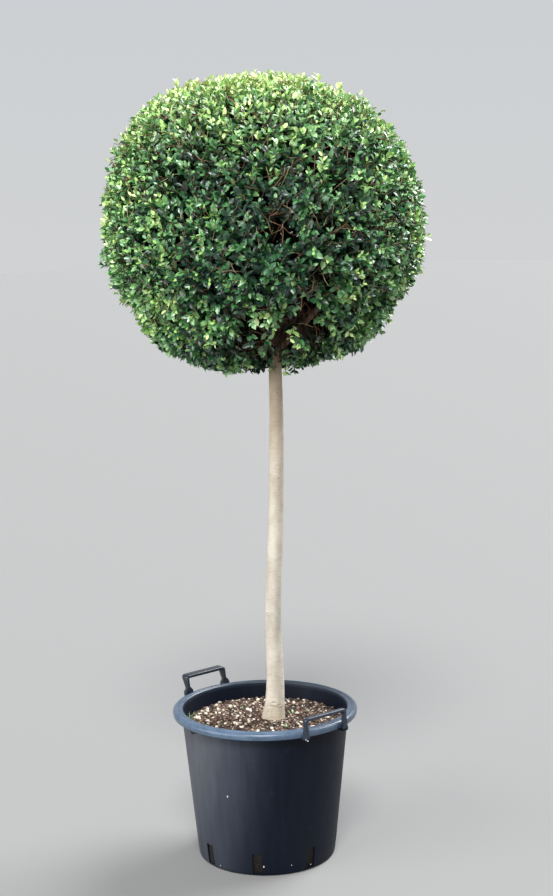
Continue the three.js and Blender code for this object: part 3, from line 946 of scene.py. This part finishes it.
# Each generation of limbs starts on the one before it, nearer the stem than its closest point
def grow_from(parents, targets, first_share):
    """Where each target's limb leaves its parent, and the parent's way there."""
    stations = parents.shape[1]
    first = int(stations * first_share)
    places = parents[:, first:]
    steps = np.linalg.norm(np.diff(parents, axis=1), axis=-1)
    along = np.concatenate([np.zeros((len(parents), 1)), np.cumsum(steps, 1)], 1)[:, first:]
    ways = unit(np.gradient(parents, axis=1))[:, first:]
    flat_places = places.reshape(-1, 3)
    flat_along = along.reshape(-1)
    flat_ways = ways.reshape(-1, 3)
    chosen = np.empty(len(targets), int)
    at_once = 400
    for begin in range(0, len(targets), at_once):
        block = targets[begin : begin + at_once]
        away = np.linalg.norm(block[:, None] - flat_places[None], axis=-1)
        chosen[begin : begin + at_once] = np.argmin(away + EARLY_FORK * flat_along, axis=1)
    return flat_places[chosen], flat_ways[chosen]


def limb_paths(parents, targets, first_share, stations, rng, wander, sag=0.0):
    """Limbs from their parents to the targets, which bow down in the middle and turn up at the tip."""
    starts, ways = grow_from(parents, targets, first_share)
    length = np.linalg.norm(targets - starts, axis=1, keepdims=True)
    middles = starts * 0.5 + targets * 0.5 + ways * length * PARENT_PULL - UP * length * sag
    middles = middles + rng.normal(0, wander, middles.shape) * length
    return bends(starts, middles, targets, stations)


def tapered(paths, foot, tip):
    share = np.linspace(0, 1, paths.shape[1])[None, :]
    return np.repeat(foot + (tip - foot) * share, len(paths), 0)


def hollow_way(heading, pitch):
    return heading_way(heading) * math.cos(math.radians(pitch)) + UP * math.sin(math.radians(pitch))


def degrees_from(ways, heading, pitch):
    return np.degrees(np.arccos(np.clip(ways @ hollow_way(heading, pitch), -1, 1)))


def hollow_share(ways):
    """How much is missing at each direction, from 0 to 1."""
    missing = np.zeros(len(ways))
    for heading, pitch, width, share in HOLLOWS:
        away = degrees_from(ways, heading, pitch) / width
        missing = np.maximum(missing, share * np.clip(1.35 - away, 0, 1))
    return missing


def lumps(ways, scale, offset):
    """Slow unevenness over the crown, about -1 to 1."""
    return np.array([noise.noise(Vector(way * scale) + Vector((offset, 0, 0))) for way in ways]) * 1.6


def thinning(ways):
    """The underside is thin and twiggy, from the stem up towards the front."""
    away = degrees_from(ways, BARE_HEADING, BARE_PITCH)
    return np.clip((BARE_EDGE - away) / (BARE_EDGE - BARE_FULL), 0, 1)


# Leaves: an oval in eight faces, folded along its midrib and bent down at its tip
LEAF_POINTS = np.array(
    [
        (0.00, 0.00, 0.0),
        (0.28, 0.42, 1.0),
        (0.66, 0.44, 1.0),
        (1.00, 0.00, 0.0),
        (0.66, -0.44, 1.0),
        (0.28, -0.42, 1.0),
        (0.36, 0.00, 0.0),
        (0.72, 0.00, 0.0),
    ]
)
LEAF_FACES = np.array(
    [(0, 6, 1), (1, 6, 2), (2, 6, 7), (2, 7, 3), (0, 5, 6), (5, 4, 6), (4, 7, 6), (4, 3, 7)]
)


def leaf_mesh(roots, ways, face_ways, lengths, widths, folds, curls):
    across = unit(np.cross(face_ways, ways))
    over = np.cross(ways, across)
    x = LEAF_POINTS[None, :, 0]
    y = LEAF_POINTS[None, :, 1] * widths[:, None]
    z = LEAF_POINTS[None, :, 2] * folds[:, None] - curls[:, None] * x**2
    points = roots[:, None] + lengths[:, None, None] * (
        ways[:, None] * x[..., None] + across[:, None] * y[..., None] + over[:, None] * z[..., None]
    )
    return points.reshape(-1, 3), repeated(LEAF_FACES, len(roots), len(LEAF_POINTS))


# The leaves' tones from the oldest and least lit to the freshest and most lit, as they also carry painted
# light:
# name, colour, roughness and gloss
LEAF_TONES = [
    ("leaves_deep", (0.009, 0.037, 0.020), 0.34, 0.8),
    ("leaves_dark", (0.023, 0.110, 0.035), 0.34, 1.0),
    ("leaves_mid", (0.082, 0.258, 0.078), 0.36, 1.0),
    ("leaves_light", (0.200, 0.420, 0.142), 0.38, 1.0),
    ("leaves_fresh", (0.365, 0.620, 0.170), 0.40, 1.0),
    ("leaves_tip", (0.590, 0.750, 0.290), 0.44, 1.0),
]
TONE_EDGES = [0.24, 0.40, 0.56, 0.74, 0.94]
# Very dark colour for the leaves deep inside the crown, painted shade
INNER_TONE = ("leaves_inner", (0.005, 0.020, 0.009), 0.5, 0.15)


def make_crown(bark, rng):
    boughs = bough_paths(28)
    limb_tips = crown_points(spiral_ways(LIMB_COUNT, rng, 0.06), LIMB_INSET)
    limbs = limb_paths(boughs, limb_tips, 0.35, 10, rng, 0.06)
    branch_tips = crown_points(spiral_ways(BRANCH_COUNT, rng, 0.03), BRANCH_INSET)
    branches = limb_paths(limbs, branch_tips, 0.3, 8, rng, 0.08)
    make_limbs(bark, boughs, limbs, branches)
    make_outer(branches, rng)
    make_inner(branches, rng)
    make_old_twigs(rng)
    make_under_twigs(branches, rng)


def make_limbs(bark, boughs, limbs, branches):
    radii = tapered(boughs, BOUGH_FOOT_RADIUS, BOUGH_TIP_RADIUS)
    points, faces = tubes(boughs, radii, BOUGH_SIDES)
    jitter = np.array([noise.noise(Vector(p) * 90) for p in points])
    centres = np.repeat(boughs.reshape(-1, 3), BOUGH_SIDES, 0)
    points = points + unit(points - centres) * (0.0007 * jitter)[:, None]
    piece = link_mesh("boughs_bark", points, faces, bark)
    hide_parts(*[f"bough_{number + 1}" for number in range(BOUGH_COUNT)])
    thick = tubes(limbs, tapered(limbs, 0.0038, 0.0020), 6)
    thin = tubes(branches, tapered(branches, 0.0021, 0.0012), 5)
    bark = new_material("branch_bark", (0.10, 0.060, 0.038), 0.85)
    piece = link_mesh("branches_bark", *joined([thick, thin]), bark)


def make_twigs(name, paths):
    foot, tip, colour = TWIGS[name]
    material = new_material(name, colour, 0.75, Specular_IOR_Level=0.2)
    piece = link_mesh(name, *tubes(paths, tapered(paths, foot, tip), 3), material)


def freshness_and_painted_light(ways, slow, thin):
    """How fresh the leaves are at each direction, before they vary by shoot, with painted light on the top,
    the sides and the thin underside.
    """
    # Painted light: leaves on the top, the left and right edges and the thin underside are made lighter in
    # tone
    top = np.clip(ways[:, 2], 0, 1) ** 2.8
    left = np.clip(-(ways @ LEAN_WAY) - 0.32, 0, 1)
    right = np.clip(ways @ LEAN_WAY - 0.55, 0, 1)
    band = np.exp(-(((ways[:, 2] + 0.52) / 0.16) ** 2))
    causes = (top, left, right, band, slow, thin)
    return sum((weight * cause for weight, cause in zip(FRESH_AND_LIGHT_WEIGHTS, causes)), LEAST_FRESH)


def make_outer(branches, rng):
    """The shoots that make the clipped surface."""
    ways = spiral_ways(SHOOT_COUNT, rng, 0.012)
    missing = np.maximum(HOLLOW_LOSS * hollow_share(ways), UNDER_LOSS * thinning(ways))
    pockets = np.clip(-lumps(ways, *FINE_LUMPS) - POCKET_START, 0, 1)
    ways = ways[rng.random(SHOOT_COUNT) > np.maximum(missing, POCKET_LOSS * pockets)]
    missing = hollow_share(ways)
    thin = thinning(ways)
    count = len(ways)
    slow = lumps(ways, *SLOW_LUMPS)
    fine = lumps(ways, *FINE_LUMPS)
    inset = OUTER_INSET - SLOW_INSET * slow - FINE_INSET * fine + HOLLOW_INSET * missing
    inset = np.maximum(inset, LEAST_INSET) + rng.exponential(RANDOM_INSET, count)
    fuller = np.clip((ways @ hollow_way(*FULLER_WAY) - FULLER_EDGE) / FULLER_FADE, 0, 1)
    inset = inset - FULLER_DEPTH * fuller
    long_shoot = rng.random(count) < LONG_SHARE
    inset = np.where(long_shoot, -rng.uniform(0.0, LONG_REACH, count), inset)
    sag = SHOOT_SAG * (1 - 0.8 * thin)[:, None]
    shoots = limb_paths(branches, crown_points(ways, inset), 0.3, 5, rng, 0.06, sag)
    under = thin > 0.2
    green = ~under & (long_shoot | (rng.random(count) < GREEN_SHARE))
    make_twigs("twigs_brown", shoots[~green & ~under])
    # Twigs on the thin underside get the darker colour, painted shade
    make_twigs("twigs_under", shoots[~green & under])
    make_twigs("twigs_green", shoots[green])

    # The shoots' tone holds painted light as well as freshness
    tone = freshness_and_painted_light(ways, slow, thin) + rng.normal(0, 0.13, count) + 0.15 * long_shoot
    leafy = rng.uniform(*LEAFY_LENGTH, count)
    bare = (rng.random(count) < 0.35 * thin) | (rng.random(count) < 0.6 * missing)
    leafy = np.where(bare, 0.0, leafy * (1 - 0.4 * thin))
    leaves = leaves_along(shoots, ways, leafy, tone, MOST_PAIRS, LEAF_LENGTH, rng)
    band = np.digitize(leaves["tones"], TONE_EDGES)
    for number, entry in enumerate(LEAF_TONES):
        piece = make_leaves(entry, leaves, band == number, rng)
        if number == 0:
            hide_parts("crown_foliage")


def make_inner(branches, rng):
    """Shoots deeper in, which close the view through the crown; their leaves and twigs have dark colours
    that are painted shade.
    """
    ways = spiral_ways(INNER_COUNT, rng, 0.02)
    count = len(ways)
    inset = rng.uniform(*INNER_INSET, count) + 0.05 * hollow_share(ways)
    shoots = limb_paths(branches, crown_points(ways, inset), 0.2, 4, rng, 0.10, SHOOT_SAG)
    make_twigs("twigs_inner", shoots)
    leafy = np.where(rng.random(count) < 0.93 * thinning(ways), 0.0, INNER_LEAFY)
    leaves = leaves_along(shoots, ways, leafy, np.zeros(count), INNER_PAIRS, LEAF_LENGTH * 1.5, rng)
    make_leaves(INNER_TONE, leaves, np.full(len(leaves["tones"]), True), rng)


def make_old_twigs(rng):
    """Bare older twigs that run slantwise just under the surface and show in its gaps."""
    ways = spiral_ways(OLD_TWIG_COUNT, rng, 0.05)
    ways = ways[thinning(ways) < 0.3]
    near_hollows = [
        unit(hollow_way(heading, pitch) + rng.normal(0, math.radians(width * 0.7), (HOLLOW_TWIG_COUNT, 3)))
        for heading, pitch, width, _ in HOLLOWS
    ]
    deeper = np.repeat([0.0, HOLLOW_TWIG_DEPTH], [len(ways), HOLLOW_TWIG_COUNT * len(HOLLOWS)])
    ways = np.concatenate([ways] + near_hollows)
    count = len(ways)
    sidestep = np.cross(ways, unit(rng.normal(0, 1, ways.shape)))
    starts = crown_points(unit(ways + sidestep * 0.16), rng.uniform(*OLD_TWIG_STARTS, count) + deeper)
    ends = crown_points(unit(ways - sidestep * 0.05), rng.uniform(*OLD_TWIG_ENDS, count) + deeper)
    middles = (starts + ends) / 2 + rng.normal(0, 0.014, starts.shape)
    paths = bends(starts, middles, ends, 6)
    paths[:, 1:-1] += rng.normal(0, 0.0014, paths[:, 1:-1].shape)
    tan = rng.random(count) < TAN_SHARE
    make_twigs("old_twigs_tan", paths[tan])
    make_twigs("old_twigs_red", paths[~tan])


def make_under_twigs(branches, rng):
    """Bare brown twigs that fill the thin part of the underside, dark as painted shade."""
    ways = spiral_ways(UNDER_TWIG_COUNT * 8, rng, 0.03)
    ways = ways[(thinning(ways) > 0.3) & (hollow_share(ways) < 0.3)][:UNDER_TWIG_COUNT]
    tips = crown_points(ways, rng.uniform(*UNDER_TWIG_ENDS, len(ways)))
    paths = limb_paths(branches, tips, 0.1, 7, rng, 0.16, 0.05)
    make_twigs("under_twigs", paths)


def points_at(paths, back):
    """The point and way at a distance back from each path's tip, along it."""
    steps = np.linalg.norm(np.diff(paths, axis=1), axis=-1)
    length = steps.sum(1)
    share = np.clip(1 - back / length, 0, 1) * (paths.shape[1] - 1)
    low = np.minimum(share.astype(int), paths.shape[1] - 2)
    part = (share - low)[:, None]
    row = np.arange(len(paths))
    first = paths[row, low]
    second = paths[row, low + 1]
    return first + (second - first) * part, unit(second - first), length


def leaves_along(shoots, shoot_ways, leafy, shoot_tone, most_pairs, leaf_length, rng):
    """Opposite pairs back from each shoot's tip, each pair a quarter turn on from the last."""
    count = len(shoots)
    crosswise = rng.random(count) * math.pi
    kept = {"places": [], "ways": [], "face_ways": [], "sizes": [], "tones": []}
    for pair in range(most_pairs):
        back = FIRST_PAIR_BACK + pair * LEAF_SPACING * (YOUNG_SPACING if pair < 2 else 1.0)
        young = math.exp(-pair / 0.8)
        closing = YOUNG_CLOSING * math.exp(-pair / 1.2)
        places, growth, length = points_at(shoots, back)
        helper = unit(np.cross(growth, UP + 0.01))
        other = np.cross(growth, helper)
        for half in (0.0, math.pi):
            turn = crosswise + half + pair * math.pi / 2 + rng.normal(0, 0.25, count)
            side = helper * np.cos(turn)[:, None] + other * np.sin(turn)[:, None]
            splay = np.radians(LEAF_SPLAY - closing + rng.normal(0, SPLAY_SPREAD, count))
            way = growth * np.cos(splay)[:, None] + side * np.sin(splay)[:, None]
            way = unit(way + rng.normal(0, 0.08, way.shape) + UP * 0.05)
            face_way = unit(growth + shoot_ways * 0.4 + UP * 0.55 + rng.normal(0, 0.42, way.shape))
            size = leaf_length * (1 - YOUNG_SHRINKING * young) * rng.uniform(*LEAF_SIZES, count)
            tone = shoot_tone + (0.12 + 0.34 * shoot_tone) * young + rng.normal(0, 0.16, count)
            present = (back < leafy) & (back < 0.85 * length) & (rng.random(count) > LOST_SHARE)
            for key, values in zip(kept, (places, way, face_way, size, tone)):
                kept[key].append(values[present])
    return {key: np.concatenate(values) for key, values in kept.items()}


def make_leaves(entry, leaves, chosen, rng):
    name, colour, roughness, gloss = entry
    total = int(chosen.sum())
    places, ways, face_ways, sizes, _ = (values[chosen] for values in leaves.values())
    widths = LEAF_BROADENING * rng.uniform(*LEAF_BREADTHS, total)
    folds = rng.uniform(*LEAF_FOLDS, total)
    curls = rng.uniform(*LEAF_CURLS, total)
    mesh = leaf_mesh(places, ways, face_ways, sizes, widths, folds, curls)
    piece = link_mesh(name, *mesh, leaf_material(name, colour, roughness, gloss))
    return piece


# Soil
def soil_height(radius):
    slope = (radius - SOIL_FLAT_RADIUS) / (SOIL_RADIUS - SOIL_FLAT_RADIUS)
    return SOIL_TOP - (SOIL_TOP - SOIL_EDGE) * np.clip(slope, 0, 1)


def make_soil(material):
    edge = wall_radius(SOIL_EDGE) - WALL - SOIL_CLEARANCE
    radii = np.linspace(edge / SOIL_RINGS, edge, SOIL_RINGS)
    radius, angle = np.meshgrid(radii, circle(SOIL_SIDES), indexing="ij")
    top = round_z(radius, angle, soil_height(radius))
    flat = top.reshape(-1, 3)
    rough = np.array([noise.noise(Vector((x * BED_LUMPS, y * BED_LUMPS, 0.0))) for x, y, _ in flat])
    top[..., 2] -= BED_DROP
    top[..., 2] += GRAIN_RELIEF * rough.reshape(radius.shape) * np.clip((edge - radius) / 0.01, 0, 1)
    foot = round_z(wall_radius(SOIL_FOOT) - WALL - SOIL_CLEARANCE, circle(SOIL_SIDES), SOIL_FOOT)
    points = np.concatenate([foot[None], top[::-1]]).reshape(-1, 3)
    piece = link_mesh("soil_bed", points, strip_faces(SOIL_RINGS + 1, SOIL_SIDES), material)
    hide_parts("soil")


def ball_template(divisions):
    bpy.ops.mesh.primitive_ico_sphere_add(subdivisions=divisions, radius=1)
    ball = bpy.context.object
    points = np.array([v.co for v in ball.data.vertices])
    faces = np.array([tuple(p.vertices) for p in ball.data.polygons])
    bpy.data.objects.remove(ball)
    return points, faces


def turned_pair(first, second, angle):
    """Two coordinates after a turn in their plane."""
    c, s = np.cos(angle), np.sin(angle)
    return first * c - second * s, first * s + second * c


def scattered(template, count, sizes, flatness, roughness, rng, sink):
    """Grains strewn over the soil, but not behind the vent, turned at random and partly sunk in it."""
    points, faces = template
    edge = wall_radius(SOIL_EDGE) - WALL
    radius = np.sqrt(rng.random(count)) * (edge - CLEAR_OF_WALL)
    heading = rng.random(count) * 2 * math.pi
    centre = round_z(radius, heading, soil_height(radius))
    away = np.linalg.norm(centre[:, :2] - stem_axis(SOIL_TOP)[0, :2], axis=1)
    behind_vent = np.cos(heading - math.radians(VENT_HEADING)) > BEHIND_VENT
    clear = away > STEM_FOOT_RADIUS + FLARE + CLEAR_OF_STEM
    clear &= ~(behind_vent & (radius > edge - CLEAR_OF_VENT))
    centre = centre[clear]
    count = len(centre)
    size = rng.uniform(*sizes, count)
    centre[:, 2] += size * sink
    width = size * rng.uniform(0.5, 0.95, count)
    height = size * flatness * rng.uniform(0.7, 1.3, count)
    bumpy = points[None] * (1 + rng.normal(0, roughness, (count, len(points), 1)))
    shape = bumpy * np.stack([size, width, height], -1)[:, None]
    turn = rng.random(count)[:, None] * 2 * math.pi
    tip = rng.normal(0, 0.35, count)[:, None]
    x, z = turned_pair(shape[..., 0], shape[..., 2], tip)
    x, y = turned_pair(x, shape[..., 1], turn)
    grains = centre[:, None] + np.stack([x, y, z], -1)
    return grains.reshape(-1, 3), repeated(faces, count, len(points))


def make_grains(rng):
    template = ball_template(1)
    kinds = [
        ("perlite", 200, (0.0020, 0.0056), 0.75, 0.16, 0.5, (0.66, 0.60, 0.50), 0.9),
        ("bark_dark", 2400, (0.002, 0.0060), 0.35, 0.16, 0.25, (0.038, 0.022, 0.015), 0.9),
        ("bark_red", 700, (0.002, 0.0055), 0.35, 0.16, 0.35, (0.115, 0.052, 0.032), 0.9),
        ("bark_tan", 800, (0.0017, 0.0050), 0.4, 0.16, 0.4, (0.21, 0.145, 0.095), 0.9),
        ("peat_crumbs", 4200, (0.001, 0.0030), 0.8, 0.2, 0.4, (0.026, 0.017, 0.012), 0.95),
        ("pale_chips", 500, (0.0016, 0.0042), 0.5, 0.14, 0.6, (0.36, 0.295, 0.215), 0.9),
    ]
    for name, count, sizes, flatness, roughness, sink, colour, shine in kinds:
        mesh = scattered(template, count, sizes, flatness, roughness, rng, sink)
        piece = link_mesh(name, *mesh, new_material(name, colour, shine), smooth=False)


# Small weeds in the pot: how far across to the right and away from the viewer, how many leaves, how far
# they spread, how long they are and how wide for their length
WEEDS = [
    (-0.176, 0.004, 10, 0.40, 0.027, 0.07),
    (0.062, 0.030, 10, 0.8, 0.010, 0.5),
    (-0.052, 0.075, 9, 0.8, 0.010, 0.5),
    (0.048, -0.060, 6, 0.8, 0.012, 0.3),
    (0.020, 0.095, 6, 0.7, 0.007, 0.5),
    (-0.110, -0.070, 5, 0.7, 0.008, 0.4),
]


def make_weeds(rng):
    rows = []
    for across, away, number, spread, length, width in WEEDS:
        centre = RIGHT_WAY * across - NEAR_WAY * away
        centre[2] = soil_height(np.hypot(centre[0], centre[1]))
        for leaf in range(number):
            heading = leaf * GOLDEN_TURN
            way = (math.cos(heading) * spread, math.sin(heading) * spread, 0.7 + 0.3 * rng.random())
            root = centre + rng.normal(0, 0.002, 3)
            rows.append((*root, *way, length * rng.uniform(0.6, 1.3), width * rng.uniform(0.8, 1.2)))
    roots, ways, (lengths, widths) = np.split(np.array(rows).T, (3, 6))
    count = len(rows)
    face_ways = unit(UP + rng.normal(0, 0.3, (count, 3)))
    folds = np.full(count, 0.08)
    curls = np.full(count, 0.3)
    mesh = leaf_mesh(roots.T, unit(ways.T), face_ways, lengths, widths, folds, curls)
    piece = link_mesh("pot_weeds", *mesh, new_material("weed_leaf", (0.26, 0.38, 0.20), 0.55))


# Camera, lights and floor
def aim(shown, place, way, roll=0.0):
    """Put a camera or light in its place, and turn it to look along a way."""
    shown.location = Vector(place)
    shown.rotation_mode = "QUATERNION"
    turn = Vector(way).to_track_quat("-Z", "Y")
    shown.rotation_quaternion = turn @ Matrix.Rotation(-math.radians(roll), 3, "Z").to_quaternion()


def make_camera():
    camera_data = bpy.data.cameras.new("camera")
    camera_data.sensor_width = SENSOR
    camera_data.lens = FOCAL_PIXELS / LONG_SIDE_PIXELS * SENSOR
    camera = new_object("camera", camera_data)
    pitch = math.radians(VIEW_PITCH)
    place = NEAR_WAY * VIEW_DISTANCE + RIGHT_WAY * VIEW_ACROSS + UP * VIEW_HEIGHT
    aim(camera, place, -NEAR_WAY * math.cos(pitch) - UP * math.sin(pitch), VIEW_ROLL)
    bpy.context.scene.camera = camera


def add_sky_light(name, across, near, height, strength, spread, colour=(1.0, 1.0, 1.0)):
    """Soft daylight, spread over many degrees, from so far across to the right, near the viewer and up."""
    light_data = bpy.data.lights.new(name, "SUN")
    light_data.color = colour
    light_data.energy = strength
    light_data.angle = math.radians(spread)
    place = RIGHT_WAY * across + NEAR_WAY * near + UP * height
    aim(new_object(name, light_data), place, UP * LIT_HEIGHT - place)


def make_world():
    """Pale at the horizon, and dimmer and bluer overhead."""
    world = bpy.data.worlds.new("studio")
    world.use_nodes = True
    background = world.node_tree.nodes["Background"]
    stops = [(0.0, (0.632, 0.645, 0.652)), (0.25, (0.59, 0.615, 0.65)), (1.0, (0.34, 0.39, 0.45))]
    wire(ramp(height_on(world, "Generated"), stops), background.inputs["Color"])
    bpy.context.scene.world = world


def make_floor():
    floor_mesh = bpy.data.meshes.new("floor")
    corners = [(x * FLOOR_HALF, y * FLOOR_HALF, 0) for x, y in ((-1, -1), (1, -1), (1, 1), (-1, 1))]
    floor_mesh.from_pydata(corners, [], [(0, 1, 2, 3)])
    floor_mesh.materials.append(new_material("floor", (0.2235, 0.2205, 0.2150), 0.9))
    floor = new_object("floor", floor_mesh)


def make_surroundings():
    make_world()
    make_floor()
    add_sky_light("key", -0.15, 2.7, 3.8, 3.3, 20)
    add_sky_light("left", -2.0, 1.2, 1.44, 3.2, 60)
    add_sky_light("back", 2.3, -1.7, 3.6, 4.5, 40, (0.96, 0.98, 1.0))
    bpy.context.scene.view_settings.view_transform = "Standard"
    bpy.context.scene.view_settings.look = "None"


make_camera()
make_surroundings()
# The rim colours hold a painted reflection of the sky; the handles get a darker copy, with less of it
plastic = plastic_material("pot_plastic", (0.030, 0.052, 0.084), (0.068, 0.100, 0.148))
make_pot(plastic)
make_handles(plastic_material("handle_plastic", (0.008, 0.013, 0.022), (0.016, 0.024, 0.038)))
make_specks()
make_stem(bark_material())
make_soil(soil_material())
make_grains(np.random.default_rng(SEED + 1))
make_weeds(np.random.default_rng(SEED + 2))
make_crown(bough_material(), np.random.default_rng(SEED))
